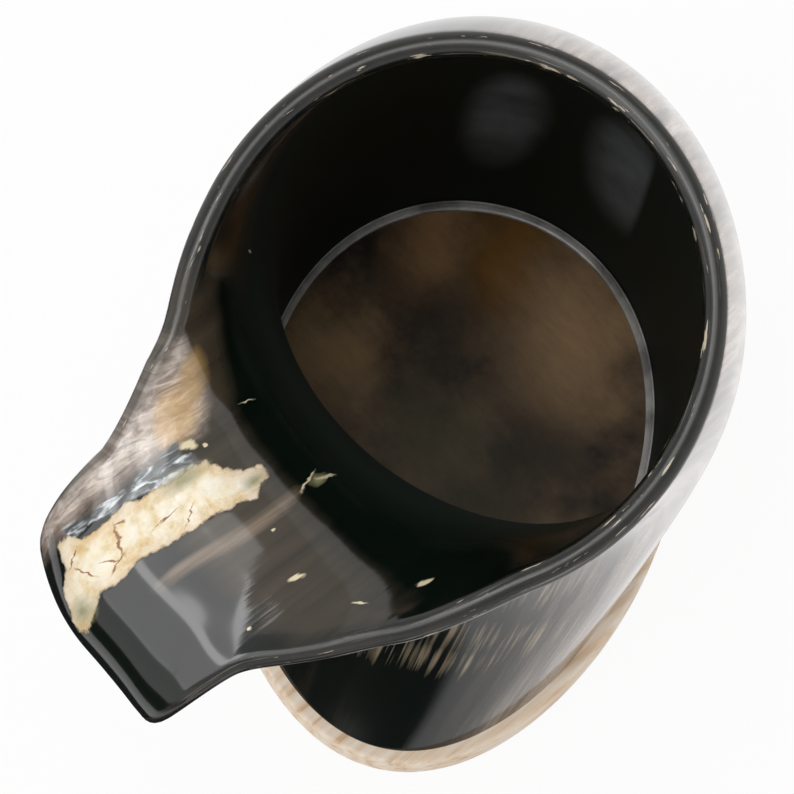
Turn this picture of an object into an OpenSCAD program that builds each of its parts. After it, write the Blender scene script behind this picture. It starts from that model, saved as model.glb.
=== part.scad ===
// Horn mug: one piece of horn makes the cup and the strap of its handle, standing on a wooden foot.
// The origin is the middle of the foot's underside, the handle points along +X, and +Z is up.

/* [Cup] */
// Height of the rim over the table, in the middle of the mouth
rim_h = 147; // [130:1:180]
// Thickness of the horn
wall = 4; // [3:0.1:5]
// How far the mouth slopes down towards the handle, in degrees
mouth_slope = 5; // [0:0.5:10]

/* [Oval at the foot] */
// Length of the oval
foot_oval_l = 105; // [90:1:130]
// Width of the oval
foot_oval_w = 79; // [65:1:96]
// Turn of its length away from the handle, in degrees
foot_oval_turn = 37; // [0:1:60]
// How much narrower one end of it is
foot_oval_point = 0.14; // [0:0.01:0.2]

/* [Oval at half height] */
// Length of the oval
mid_oval_l = 92; // [80:1:112]
// Width of the oval
mid_oval_w = 79; // [68:1:95]
// Turn of its length away from the handle, in degrees
mid_oval_turn = 75; // [40:1:90]
// How much narrower one end of it is
mid_oval_point = 0.09; // [0:0.01:0.15]
// How far the horn bows away from the handle
bow = 14.5; // [6:0.5:17.5]
// How far it bows to the side
side_bow = 4.5; // [0:0.5:8]

/* [Oval at the rim] */
// Length of the oval
rim_oval_l = 90; // [80:1:108]
// Width of the oval
rim_oval_w = 84; // [75:1:101]
// Turn of its length away from the handle, in degrees
rim_oval_turn = 34; // [0:1:60]
// How far the mouth stands towards the handle
rim_shift = 7; // [0:0.5:10]
// How far the mouth stands to the side
rim_side_shift = 3; // [0:0.5:6]

/* [Handle] */
// Height over the foot at which the wall starts to lean out
lean_start = 75; // [60:1:90]
// Radius of the lean
lean_r = 110; // [90:1:140]
// Lean of the wall where the neck starts, in degrees from upright
neck_lean = 27; // [20:1:35]
// Radius under the neck, where the wall turns into the strap
neck_r = 22; // [17:0.5:28]
// Level run of the strap
strap_run = 10.5; // [6:0.5:20]
// Radius under the far bend
bend_r = 10; // [8:0.5:14]
// How far the strap turns back under itself, in degrees past straight down
tuck = 20; // [5:1:30]
// Length of the strap below the far bend
strap_drop = 52; // [35:1:64]
// How far the strap turns out again below the bend, in degrees
tip_back = 25; // [0:1:35]
// Width of the strap at its root
root_w = 39; // [34:1:50]
// Width of the strap where the far bend starts
bend_w = 33.5; // [27:0.5:38]
// Width of the strap at its tip
tip_w = 16; // [12:1:20]
// How much nearer to the cup the bend is at one edge of the strap
bend_slant = 6; // [0:0.5:8]
// Middle of the strap at its root, to the side of the foot's middle
strap_y = 4.2; // [0:0.1:8]
// How far the strap swings to the other side on its way to the bend
swing = 2; // [0:0.1:4]
// Radius to which the strap is dished before it is flattened
dish_r = 43; // [40:1:52]
// Share of the dish that is left at the tip
dish_left = 0.12; // [0.05:0.01:0.3]

/* [Root of the handle] */
// Corners of the mouth, where the strap leaves the rim, in degrees either side of the handle
corner = 46; // [40:1:54]
// Length over which the rim runs into the strap's edge
corner_run = 24; // [14:1:30]
// Length over which the plain wall passes into the strap
blend_run = 64; // [48:1:75]
// Half angle over which the plain wall passes into the strap
blend_angle = 70; // [56:1:80]
// Length over which the strap loses its dish
flatten_run = 80; // [60:1:100]
// Length below the rim at which the strap starts to swing
swing_start = 10; // [0:1:20]
// Length over which it swings
swing_run = 25; // [15:1:40]

/* [Foot and floor] */
// Height of the wooden foot
foot_h = 10; // [7:0.5:14]
// How far the foot stands out past the horn
foot_out = 2.5; // [0.5:0.1:4]
// Radius of the foot's edges
foot_edge_r = 2; // [1:0.1:3]
// Thickness of the floor inside the cup
floor_t = 3.5; // [2.5:0.1:6]
// Size of the sealing bead round the floor
bead = 1.3; // [0.8:0.1:3]
// Thickness of the bead's thin edges
bead_edge = 0.3; // [0.2:0.05:0.5]
// Glue gap between the wall and what fits inside it
glue_gap = 0.15; // [0.1:0.05:0.3]

/* [Hidden] */

// Facets round the cup's back, across the strap, up the cup, along the strap and over the lip
back_n = 52;
strap_n = 20;
cup_n = 18;
strap_rows = 44;
lip_n = 3;
// How much closer the strap's rows lie at its two ends, and the columns at the mouth's corners, from 0 to 1
row_crowd = 0.6;
column_crowd = 0.4;
// Step over which the slope of the wall is measured, in degrees and in length
probe = 0.5;
// Turns at which a quarter round is drawn, in degrees
round_turns = [0, 30, 60, 90];
// Share of the tip's round end that is drawn before the lip closes it
tip_share = 0.93;
// How soon past the bend the strap tapers, as a share of its length turned over
taper_ease = 3;
around = back_n + strap_n;

cup_l = rim_h - foot_h - wall / 2;
last_row = cup_n + strap_rows;

function smooth(x) = let(t = min(max(x, 0), 1)) t * t * (3 - 2 * t);
function unit(v) = v / norm(v);

// A point on an oval that is narrower at one end
function oval(l, w, turn, point, centre, a) =
    let(m = l / 2 * cos(a - turn))
    let(n = w / 2 * sin(a - turn) * (1 - point * cos(a - turn)))
    centre + [m * cos(turn) - n * sin(turn), m * sin(turn) + n * cos(turn)];

// The cup without its handle: a smooth loft through three ovals, at angle a and length l up the wall
function plain_wall(a, l) =
    let(u = l / cup_l)
    let(low = oval(foot_oval_l, foot_oval_w, foot_oval_turn, foot_oval_point, [0, 0], a))
    let(mid = oval(mid_oval_l, mid_oval_w, mid_oval_turn, mid_oval_point, [-bow, -side_bow], a))
    let(top = oval(rim_oval_l, rim_oval_w, rim_oval_turn, 0, [rim_shift, rim_side_shift], a))
    let(p = low * (1 - u) * (1 - 2 * u) + mid * 4 * u * (1 - u) + top * u * (2 * u - 1))
    [p[0], p[1], foot_h + l - u * tan(mouth_slope) * p[0]];

// The strap's middle line: runs of [length, turn] from the wall's own lean, as [out, height, lean]
lean_from = plain_wall(0, lean_start);
lean_step = plain_wall(0, lean_start + 1) - lean_from;
first_lean = atan2(lean_step[0], lean_step[2]);
function arc(r, turn) = [r * turn * PI / 180, turn];
strap_path = [
    arc(lean_r, neck_lean - first_lean),
    arc(neck_r, 90 - neck_lean),
    [strap_run, 0],
    arc(bend_r, 90 + tuck),
    [strap_drop, -tip_back]
];
function travel(at, run, d) =
    let(end = at[2] + run[1] * d / run[0])
    run[1] == 0
        ? at + [sin(at[2]) * d, cos(at[2]) * d, 0]
        : let(r = run[0] / (run[1] * PI / 180))
          [at[0] + r * (cos(at[2]) - cos(end)), at[1] + r * (sin(end) - sin(at[2])), end];
function along(path, s, at, i = 0) =
    i == len(path) - 1 || s <= path[i][0]
        ? travel(at, path[i], s)
        : along(path, s - path[i][0], travel(at, path[i], path[i][0]), i + 1);

path_l = [for (run = strap_path) run[0]];
slant_run = path_l[1] + path_l[2];

// The strap, dished across its width and bent along its middle line
function bent_strap(a, l) =
    let(s = max(l - lean_start, 0))
    let(flat = smooth(s / flatten_run))
    let(side = dish_r * sin(a))
    let(nearer = bend_slant * pow(min(side, 0) / (bend_w / 2), 2) * smooth((s - path_l[0]) / slant_run))
    let(at = along(strap_path, s, [lean_from[0], lean_from[2], first_lean]))
    let(middle = strap_y - swing * smooth((l - cup_l + swing_start) / swing_run))
    let(dish = dish_r * (1 - cos(a)) * (1 - (1 - dish_left) * flat))
    let(turned = at[2] - first_lean)
    [at[0] - cos(turned) * dish - nearer, middle + side, at[1] + sin(turned) * dish];

// The outer face of the horn: plain wall that passes into the strap near the handle
function horn_face(a, l) =
    let(w = smooth((l - lean_start) / blend_run - pow(a / blend_angle, 2)))
    plain_wall(a, l) * (1 - w) + bent_strap(a, l) * w;

// Half the angle that the strap still covers at a length past the rim
strap_l = lean_start + path_l[0] + path_l[1] + path_l[2] + path_l[3] + path_l[4] - cup_l;
bend_from = strap_l - strap_drop - path_l[3];
tip_round = tip_w / 2;
function strap_half(d) =
    let(t = max(d - bend_from, 0) / (strap_l - bend_from))
    let(taper = (bend_w - tip_w) * t * (2 - t) * smooth(taper_ease * t))
    let(end = max(d - strap_l + tip_round, 0) / tip_round * tip_share)
    (root_w + (bend_w - root_w) * smooth(d / bend_from) - taper) / 2 * sqrt(1 - end * end);
function strap_angle(d) =
    let(left = max(1 - d / corner_run, 0))
    let(extra = corner - asin(root_w / 2 / dish_r))
    asin(strap_half(d) / dish_r) + extra * (1 - sqrt(1 - left * left));

// Evenly spaced steps from 0 to 1, drawn together towards both ends
function crowded(t, share) = t - share * sin(360 * t) / (2 * PI);

// Place of a grid point on the outer face, as [angle, length]: rows up the cup, then rows along the strap
function cup_angle(i) =
    i <= strap_n
        ? corner * (2 * i / strap_n - 1)
        : corner + (360 - 2 * corner) * crowded((i - strap_n) / back_n, column_crowd);
function wrap(a) = a > 180 ? a - 360 : a;
function place(i, j) =
    let(d = strap_l * crowded((j - cup_n) / strap_rows, row_crowd))
    j <= cup_n
        ? [wrap(cup_angle(i)), cup_l * j / cup_n]
        : [strap_angle(d) * (2 * i / strap_n - 1), cup_l + d];
function face_normal(a, l) =
    let(across = horn_face(a + probe, l) - horn_face(a - probe, l))
    let(up = horn_face(a, l + probe) - horn_face(a, l - probe))
    unit(cross(across, up));
place_grid = [for (j = [0:last_row]) [for (i = [0:(j <= cup_n ? around - 1 : strap_n)]) place(i, j)]];
horn_grid = [for (row = place_grid) [for (p = row) horn_face(p[0], p[1])]];
normal_grid = [for (row = place_grid) [for (p = row) face_normal(p[0], p[1])]];
function grid_at(i, j) = horn_grid[j][i];
function normal_at(i, j) = normal_grid[j][i];
// The cut face on the foot stays level, so there the wall is measured level
function inner_at(i, j) =
    let(n = normal_at(i, j))
    j == 0 ? grid_at(i, j) - wall * [n[0], n[1], 0] / (n[0] * n[0] + n[1] * n[1]) : grid_at(i, j) - wall * n;

// The free edge: round the rim, out along the strap, across its tip and back
edge_loop = concat(
    [for (i = [strap_n:around]) [i % around, cup_n]],
    [for (j = [cup_n + 1:last_row]) [0, j]],
    [for (i = [1:strap_n]) [i, last_row]],
    [for (j = [last_row - 1:-1:cup_n + 1]) [strap_n, j]]
);
edge_n = len(edge_loop);
function edge_at(k) = let(e = edge_loop[(k + edge_n) % edge_n]) grid_at(e[0], e[1]);
function lip_at(k, m) =
    let(e = edge_loop[k], n = normal_at(e[0], e[1]), over = unit(cross(n, edge_at(k + 1) - edge_at(k - 1))))
    let(a = 180 * m / (lip_n + 1))
    edge_at(k) - n * wall / 2 + (cos(a) * n + sin(a) * over) * wall / 2;

// Two triangles between neighbours on rows a and b
function patch(a0, b0, b1, a1) = [[a0, b0, b1], [a0, b1, a1]];

module horn_body() {
    cells = [for (j = [0:last_row - 1], i = [0:(j < cup_n ? around : strap_n) - 1]) [i, j]];
    side_n = (cup_n + 1) * around + strap_rows * (strap_n + 1);
    function id(i, j) =
        j <= cup_n ? j * around + i % around : (cup_n + 1) * around + (j - cup_n - 1) * (strap_n + 1) + i;
    function lip_id(k, m) =
        let(e = edge_loop[k % edge_n])
        m == 0 ? id(e[0], e[1])
        : m > lip_n ? side_n + id(e[0], e[1])
        : 2 * side_n + (k % edge_n) * lip_n + m - 1;
    points = concat(
        [for (j = [0:last_row], i = [0:len(horn_grid[j]) - 1]) grid_at(i, j)],
        [for (j = [0:last_row], i = [0:len(horn_grid[j]) - 1]) inner_at(i, j)],
        [for (k = [0:edge_n - 1], m = [1:lip_n]) lip_at(k, m)]
    );
    outside = [for (c = cells)
        each patch(id(c[0], c[1]), id(c[0], c[1] + 1), id(c[0] + 1, c[1] + 1), id(c[0] + 1, c[1]))];
    inside = [for (f = outside) [side_n + f[0], side_n + f[2], side_n + f[1]]];
    lip = [for (k = [0:edge_n - 1], m = [0:lip_n])
        each patch(lip_id(k, m), lip_id(k, m + 1), lip_id(k + 1, m + 1), lip_id(k + 1, m))];
    cut = [for (i = [0:around - 1])
        each patch(side_n + id(i, 0), id(i, 0), id(i + 1, 0), side_n + id(i + 1, 0))];
    color("#3b332c") polyhedron(points, concat(outside, inside, lip, cut));
}

// Level outlines at a height: round the foot of the wall, moved out, and of the cup's inside, moved in
function level_out(i) = let(n = normal_at(i, 0)) unit([n[0], n[1], 0]);
function foot_outline(z, out) = [for (i = [0:around - 1])
    let(p = grid_at(i, 0) + out * level_out(i))
    [p[0], p[1], z]];
function inside_outline(z, gap) = [for (i = [0:around - 1])
    let(low = inner_at(i, 0), high = inner_at(i, 1))
    low + (high - low) * (z - low[2]) / (high[2] - low[2]) - gap * level_out(i)];

// A solid through level outlines, from the lowest to the highest
module stack(outlines) {
    rows = len(outlines);
    n = len(outlines[0]);
    sides = [for (j = [0:rows - 2], i = [0:n - 1])
        each patch(j * n + i, (j + 1) * n + i, (j + 1) * n + (i + 1) % n, j * n + (i + 1) % n)];
    caps = [[for (i = [0:n - 1]) i], [for (i = [n - 1:-1:0]) (rows - 1) * n + i]];
    polyhedron([for (o = outlines) each o], concat(sides, caps));
}

// A ring through outlines that follow each other round its section
module ring(outlines) {
    rows = len(outlines);
    n = len(outlines[0]);
    function id(j, i) = (j % rows) * n + i % n;
    polyhedron(
        [for (o = outlines) each o],
        [for (j = [0:rows - 1], i = [0:n - 1])
            each patch(id(j, i), id(j + 1, i), id(j + 1, i + 1), id(j, i + 1))]
    );
}

module wooden_foot() {
    top_r = foot_edge_r / 2;
    rounded = concat(
        [for (a = round_turns) [foot_edge_r * (1 - sin(a)), foot_edge_r * (1 - cos(a))]],
        [for (a = round_turns) [top_r * (1 - cos(a)), foot_h - top_r * (1 - sin(a))]]
    );
    color("#d9b794") stack([for (r = rounded) foot_outline(r[1], foot_out - r[0])]);
}

module floor_plate() {
    color("#4a3a2b") stack([for (z = [foot_h, foot_h + floor_t]) inside_outline(z, glue_gap)]);
}

module sealing_bead() {
    cove_r = bead - bead_edge;
    section = concat(
        [[0, 0], [0, bead]],
        [for (a = round_turns) [bead - cove_r * cos(a), bead - cove_r * sin(a)]],
        [[bead, 0]]
    );
    color("#77787a") ring([for (s = section) inside_outline(foot_h + floor_t + s[1], glue_gap + s[0])]);
}

horn_body();
wooden_foot();
floor_plate();
sealing_bead();
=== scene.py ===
import bpy
import numpy as np
from mathutils import Matrix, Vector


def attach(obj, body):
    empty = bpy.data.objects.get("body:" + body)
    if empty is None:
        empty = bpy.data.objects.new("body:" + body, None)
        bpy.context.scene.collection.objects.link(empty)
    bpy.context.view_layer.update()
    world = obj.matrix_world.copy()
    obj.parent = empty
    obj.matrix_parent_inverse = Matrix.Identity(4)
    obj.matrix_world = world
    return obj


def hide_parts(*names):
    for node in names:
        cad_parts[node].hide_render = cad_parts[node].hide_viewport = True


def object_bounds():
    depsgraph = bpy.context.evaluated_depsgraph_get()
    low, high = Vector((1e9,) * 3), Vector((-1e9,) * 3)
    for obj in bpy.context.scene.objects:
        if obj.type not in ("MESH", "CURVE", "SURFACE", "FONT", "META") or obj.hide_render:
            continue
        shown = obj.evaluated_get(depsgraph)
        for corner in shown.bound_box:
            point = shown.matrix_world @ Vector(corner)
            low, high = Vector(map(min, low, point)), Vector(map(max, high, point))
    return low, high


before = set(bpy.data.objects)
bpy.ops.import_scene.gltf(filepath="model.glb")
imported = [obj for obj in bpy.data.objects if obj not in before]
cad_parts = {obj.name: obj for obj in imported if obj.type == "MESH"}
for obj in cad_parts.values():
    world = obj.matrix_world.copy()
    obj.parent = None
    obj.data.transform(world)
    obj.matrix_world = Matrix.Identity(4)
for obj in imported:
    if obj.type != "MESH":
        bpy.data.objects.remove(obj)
cadBox = np.array(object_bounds())
scene = bpy.context.scene
scene.view_settings.view_transform = "Standard"
print("frame loaded", cadBox.round(4).tolist())

endless = 1e5  # a reach so long that its axis does not count


def toLinear(code):  # an sRGB hex colour as linear red, green, blue, alpha
    c = np.array([int(code[k:k + 2], 16) for k in (1, 3, 5)]) / 255
    return tuple(np.where(c <= 0.04045, c / 12.92, ((c + 0.055) / 1.055) ** 2.4)) + (1.0,)


def addNode(tree, kind, settings={}, links={}):  # settings go to properties or sockets, links are (node, socket)
    node = tree.nodes.new("ShaderNode" + kind)
    for key, value in settings.items():
        if key == "stops":  # colours along a ramp, as (place, hex)
            ramp = node.color_ramp.elements
            while len(ramp) < len(value):
                ramp.new(1.0)
            for stop, (place, colour) in zip(ramp, value):
                stop.position, stop.color = place, toLinear(colour)
        elif isinstance(key, str) and hasattr(node, key):
            setattr(node, key, value)
        else:
            node.inputs[key].default_value = toLinear(value) if isinstance(value, str) else value
    for key, (source, socket) in links.items():
        tree.links.new(source.outputs[socket], node.inputs[key])
    return node


def newMaterial(name):
    material = bpy.data.materials.new(name)
    material.use_nodes = True
    tree = material.node_tree
    return material, tree, tree.nodes["Principled BSDF"]


def unit(v):  # directions made one long
    return v / np.linalg.norm(v, axis=-1, keepdims=True)


def placed(side, back, place):  # a camera's or lamp's stand from its right and back directions and its place
    stand = np.eye(4)
    stand[:3, 0], stand[:3, 1], stand[:3, 2], stand[:3, 3] = side, np.cross(back, side), back, place
    return Matrix(stand.tolist())


def makePiece(name, points, faces, node, material, attributes={}, sharp=40):  # points in mm
    inside = np.clip(points * 0.001, cadBox[0], cadBox[1])  # facets of the frame cut a few hundredths off a curve
    mesh = bpy.data.meshes.new(name)
    mesh.from_pydata(inside.tolist(), [], faces)
    for key, values in attributes.items():
        kind = "FLOAT" if values.ndim == 1 else "FLOAT_VECTOR"
        data = mesh.attributes.new(key, kind, "POINT").data
        data.foreach_set("value" if values.ndim == 1 else "vector", values.astype(np.float32).ravel())
    mesh.shade_smooth()
    mesh.set_sharp_from_angle(angle=np.radians(sharp))
    mesh.materials.append(material)
    piece = bpy.data.objects.new(name, mesh)
    scene.collection.objects.link(piece)
    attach(piece, "root")
    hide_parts(node)
    print(name, len(points), "points", len(faces), "faces")


# The horn. Sizes in mm, angles in degrees from the handle, length l measured up the wall and out along the strap.
horn = dict(
    rimHeight=147, footHeight=10, wall=4, mouthSlope=5,
    footOval=(105, 79, 37, 0.14, (0, 0)),  # length, width, turn, point, centre
    midOval=(92, 79, 75, 0.09, (-14.5, -4.5)),
    rimOval=(90, 84, 34, 0, (7, 3)),
    leanStart=75, leanRadius=110, neckLean=27, neckRadius=22, strapRun=10.5, bendRadius=10, tuck=20,
    strapDrop=52, tipBack=25, rootWidth=39, bendWidth=33.5, tipWidth=16, tipRound=0.93, taperSoon=3,
    bendSlant=6, strapSide=4.2, swing=2, swingStart=10, swingRun=25,
    dishRadius=43, dishLeft=0.12, corner=46, cornerRun=24, blendRun=64, blendAngle=70, flattenRun=80,
    cupRows=72, backColumns=170, backCrowd=0.4, strapColumns=100, strapRows=150, strapCrowd=0.6, lipRows=9)
cupLength = horn["rimHeight"] - horn["footHeight"] - horn["wall"] / 2


def ease(x):  # 0 to 1 with level ends
    t = np.clip(x, 0, 1)
    return t * t * (3 - 2 * t)


def crowded(t, share):  # steps from 0 to 1 that lie closer at both ends
    return t - share * np.sin(2 * np.pi * t) / (2 * np.pi)


def oval(size, a):  # an ellipse, narrower at one end, turned and moved
    length, width, turn, point, centre = size
    t = np.radians(turn)
    m = length / 2 * np.cos(a - t)
    n = width / 2 * np.sin(a - t) * (1 - point * np.cos(a - t))
    return np.stack([centre[0] + m * np.cos(t) - n * np.sin(t), centre[1] + m * np.sin(t) + n * np.cos(t)], -1)


def plainWall(a, l):  # a parabola up the wall through the three ovals at each angle; the mouth slopes to the handle
    u = (l / cupLength)[..., None]
    p = oval(horn["footOval"], a) * (1 - u) * (1 - 2 * u) + oval(horn["midOval"], a) * 4 * u * (1 - u)
    p = p + oval(horn["rimOval"], a) * u * (2 * u - 1)
    z = horn["footHeight"] + l - u[..., 0] * np.tan(np.radians(horn["mouthSlope"])) * p[..., 0]
    return np.concatenate([p, z[..., None]], -1)


leanFrom, leanNext = plainWall(np.zeros(2), np.array([0.0, 1.0]) + horn["leanStart"])
firstLean = np.arctan2(*(leanNext - leanFrom)[[0, 2]])
neckLean, bendTurn = np.radians([horn["neckLean"], 90 + horn["tuck"]])
strapRuns = [  # length and turn of each run of the strap's middle line
    (horn["leanRadius"] * (neckLean - firstLean), neckLean - firstLean),
    (horn["neckRadius"] * (np.pi / 2 - neckLean), np.pi / 2 - neckLean),
    (horn["strapRun"], 1e-9),  # straight: a turn too small to show
    (horn["bendRadius"] * bendTurn, bendTurn),
    (horn["strapDrop"], -np.radians(horn["tipBack"]))]
strapLength = horn["leanStart"] + sum(run for run, turn in strapRuns) - cupLength


def bentStrap(a, l):  # arcs one after the other along the middle line, with a dish across that flattens out
    s = np.maximum(l - horn["leanStart"], 0)
    x, z, lean = np.full_like(s, leanFrom[0]), np.full_like(s, leanFrom[2]), np.full_like(s, firstLean)
    left = s
    for n, (run, turn) in enumerate(strapRuns):
        d = np.clip(left, 0, run if n < len(strapRuns) - 1 else None)
        end = lean + turn * d / run
        x = x + run / turn * (np.cos(lean) - np.cos(end))
        z = z + run / turn * (np.sin(end) - np.sin(lean))
        lean, left = end, left - d
    dish = horn["dishRadius"] * (1 - np.cos(a)) * (1 - (1 - horn["dishLeft"]) * ease(s / horn["flattenRun"]))
    turned = lean - firstLean
    side = horn["dishRadius"] * np.sin(a)
    slant = ease((s - strapRuns[0][0]) / (strapRuns[1][0] + strapRuns[2][0]))
    nearer = horn["bendSlant"] * (np.minimum(side, 0) / (horn["bendWidth"] / 2)) ** 2 * slant
    middle = horn["strapSide"] - horn["swing"] * ease((l - cupLength + horn["swingStart"]) / horn["swingRun"])
    return np.stack([x - np.cos(turned) * dish - nearer, middle + side, z + np.sin(turned) * dish], -1)


def hornFace(a, l):  # the plain wall, passing into the strap near the handle
    w = ease((l - horn["leanStart"]) / horn["blendRun"] - (np.degrees(a) / horn["blendAngle"]) ** 2)[..., None]
    return plainWall(a, l) * (1 - w) + bentStrap(a, l) * w


def faceNormal(a, l):  # across the slopes round and up the wall
    da, dl = 0.005, 0.2  # small steps, in radians and mm
    return unit(np.cross(hornFace(a + da, l) - hornFace(a - da, l), hornFace(a, l + dl) - hornFace(a, l - dl)))


def strapAngle(d):  # half the strap's width as an angle: tapers, rounds off at the tip and fans out into the rim
    bendFrom = strapLength - horn["strapDrop"] - strapRuns[3][0]
    t = np.maximum(d - bendFrom, 0) / (strapLength - bendFrom)
    taper = (horn["bendWidth"] - horn["tipWidth"]) * t * (2 - t) * ease(horn["taperSoon"] * t)
    half = (horn["rootWidth"] + (horn["bendWidth"] - horn["rootWidth"]) * ease(d / bendFrom) - taper) / 2
    tip = np.clip((d - strapLength) / (horn["tipWidth"] / 2) + 1, 0, 1) * horn["tipRound"]
    left = np.clip(1 - d / horn["cornerRun"], 0, 1)
    extra = np.radians(horn["corner"]) - np.arcsin(horn["rootWidth"] / 2 / horn["dishRadius"])
    return np.arcsin(half * np.sqrt(1 - tip ** 2) / horn["dishRadius"]) + extra * (1 - np.sqrt(1 - left ** 2))


def gridFaces(ids):  # quads between neighbouring rows and columns of point numbers
    return np.stack([ids[:-1, :-1], ids[:-1, 1:], ids[1:, 1:], ids[1:, :-1]], -1).reshape(-1, 4)


def wrapped(ids):  # the first column once more at the end, so that the rows close
    return np.concatenate([ids, ids[:, :1]], 1)


def levelInner(p, n):  # the wall's inner edge at its level cut
    level = n * [1, 1, 0]
    return p - horn["wall"] * level / (level ** 2).sum(-1, keepdims=True)


corner = np.radians(horn["corner"])
strapSteps = np.linspace(-1, 1, horn["strapColumns"] + 1)
backSteps = crowded(np.arange(1, horn["backColumns"]) / horn["backColumns"], horn["backCrowd"])
cupAngles = np.concatenate([corner * strapSteps, corner + (2 * np.pi - 2 * corner) * backSteps])
cupAngles = np.where(cupAngles > np.pi, cupAngles - 2 * np.pi, cupAngles)


# What shows on the horn, as places on its unbent sheet: degrees from the handle, mm along. Outlines come first. An edge
# is the mm over which one fades and how far along that the outline lies; farOut is the depth given to the outer face.
marks = dict(
    crust=[(-17.3, 157.6), (-14.5, 156.5), (-12, 156.8), (-9.6, 158.7), (-5.5, 160), (-2.5, 161.3), (-0.2, 159.5),
           (-1.6, 156.6), (-4.2, 154.2), (-3.2, 151.8), (-3.8, 149), (-3.6, 145), (-2.6, 141.4), (-2.8, 137),
           (-2.2, 133.5), (-1.3, 129.5), (-2.8, 128.4), (-3.2, 125.6), (-6, 125.8), (-6.6, 128.8), (-9.2, 130.4),
           (-12.5, 132), (-14, 134), (-13.2, 138), (-14, 142), (-14.6, 147), (-14.3, 151), (-14.6, 153.5),
           (-16.2, 155)],
    # a band of painted shadow beside the flaked place, with pale flakes through it
    bruise=[(-17.6, 155), (-15.3, 154), (-14.3, 147), (-13.8, 142), (-13, 138), (-14, 134.5), (-16, 133.6),
            (-17.2, 136), (-20.5, 135.6), (-18.6, 139.5), (-18, 144), (-17, 148.5)],
    rosy=[(-41, 135.2), (-36, 138.4), (-31, 142.5), (-27, 148), (-25, 153), (-24, 162), (-17, 163), (-16.5, 157),
          (-17.5, 150), (-18.5, 142), (-19, 136), (-19, 131.5), (-25, 129.5), (-34, 132)],
    veil=[(22, 145), (26, 141), (33, 137), (40, 134.5), (48, 134), (48, 131.5), (38, 132), (30, 134), (24, 138)],
    rosyEdge=(5, 0.4), veilEdge=(2, 0.5), sinkEdge=(1.2, 0.3), farOut=-9.0,
    amber=[(-25.5, 9, 135, 5.5), (-31, 8, 132, 4)],  # ovals: middle and reach, both ways
    smoke=[(0, 62, 133, 13), (-36, 30, 131, 12)],
    haze=[(-86, 15, 120, 15), (-72, 11, 124, 10)],
    scuff=[(-172, 16, 42, 30), (-137, 14, 40, 28)],
    ovalSlope=1.6,
    tan=(3.7, 1.7, 119, 153, 9), tanSway=(0.6, 0.25),  # middle, half width in degrees, from, to, fade; its wavering
    bands=[(18, 0.1, 5, -8, 72), (34, -0.1, 7, 18, 90), (46, 0.2, 11, 30, 116)],  # mm up, rise, half width, from, to
    bandFade=22,
    pale=(46, 58, 238, 45),  # the outer face is pale between two angles, each with its fade
    # ripples: how fast round and along, how far bent, how fast the bend goes round and along
    wave=0.055, waves=[(0.31, 0.19, 1.2, 0, 0.13), (-0.23, 0.47, 1.5, 0.21, 0)], waveUp=(100, 15), waveSide=(40, 0.3),
    sink=0.25, lumps=[(0, 1.9, 2.3, 61, 0), (97, 0, 1.1, 0, 1.3)])


def depthInside(outline, a, l):  # mm to the nearest edge of an outline on the sheet, positive inside it
    p = np.stack([horn["dishRadius"] * a, l], -1)[:, None]
    start = np.array(outline) * [np.radians(horn["dishRadius"]), 1]
    run = np.roll(start, -1, 0) - start
    t = np.clip(((p - start) * run).sum(-1) / (run ** 2).sum(-1), 0, 1)
    gap = np.linalg.norm(p - start - t[..., None] * run, axis=-1).min(-1)
    crosses = (start[:, 1] > p[..., 1]) != ((start + run)[:, 1] > p[..., 1])
    at = start[:, 0] + (p[..., 1] - start[:, 1]) * run[:, 0] / np.where(run[:, 1] == 0, 1e-9, run[:, 1])
    return gap * np.where((crosses & (p[..., 0] < at)).sum(-1) % 2 == 1, 1, -1)


def fading(depth, edge):  # a depth inside an outline as a share from 0 to 1
    return ease(depth / edge[0] + edge[1])


def softSpots(spots, a, l):  # 1 in the middle of each oval place, easing to 0 at its edge
    angle, wide, along, long = np.array(spots, float).T
    reach = np.hypot((np.degrees(a)[:, None] - angle) / wide, (l[:, None] - along) / long)
    return ease(marks["ovalSlope"] * (1 - reach)).max(-1)


def tanStreak(a, l):  # one streak along the strap with soft sides and ends
    middle, wide, first, last, fade = marks["tan"]
    sway, pace = marks["tanSway"]
    sideways = np.exp(-((np.degrees(a) - middle - sway * np.sin(pace * l)) / wide) ** 2)
    return sideways * ease((l - first) / fade) * ease((last - l) / fade)


def fleckBands(a, l):  # slanting bands up the outer face, fading out at their sides and ends
    middle, rise, wide, first, last = np.array(marks["bands"], float).T
    angle = np.degrees(a)[:, None]
    upwards = np.exp(-((l[:, None] - middle - rise * (angle - first)) / wide) ** 2)
    return (upwards * ease((angle - first) / marks["bandFade"]) * ease((last - angle) / marks["bandFade"])).max(-1)


def ripples(waves, turn, l):  # crossing sines, each bent by a slower one
    return sum(np.sin(p * turn + q * l + bend * np.sin(r * turn + s * l)) for p, q, bend, r, s in waves)


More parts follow.
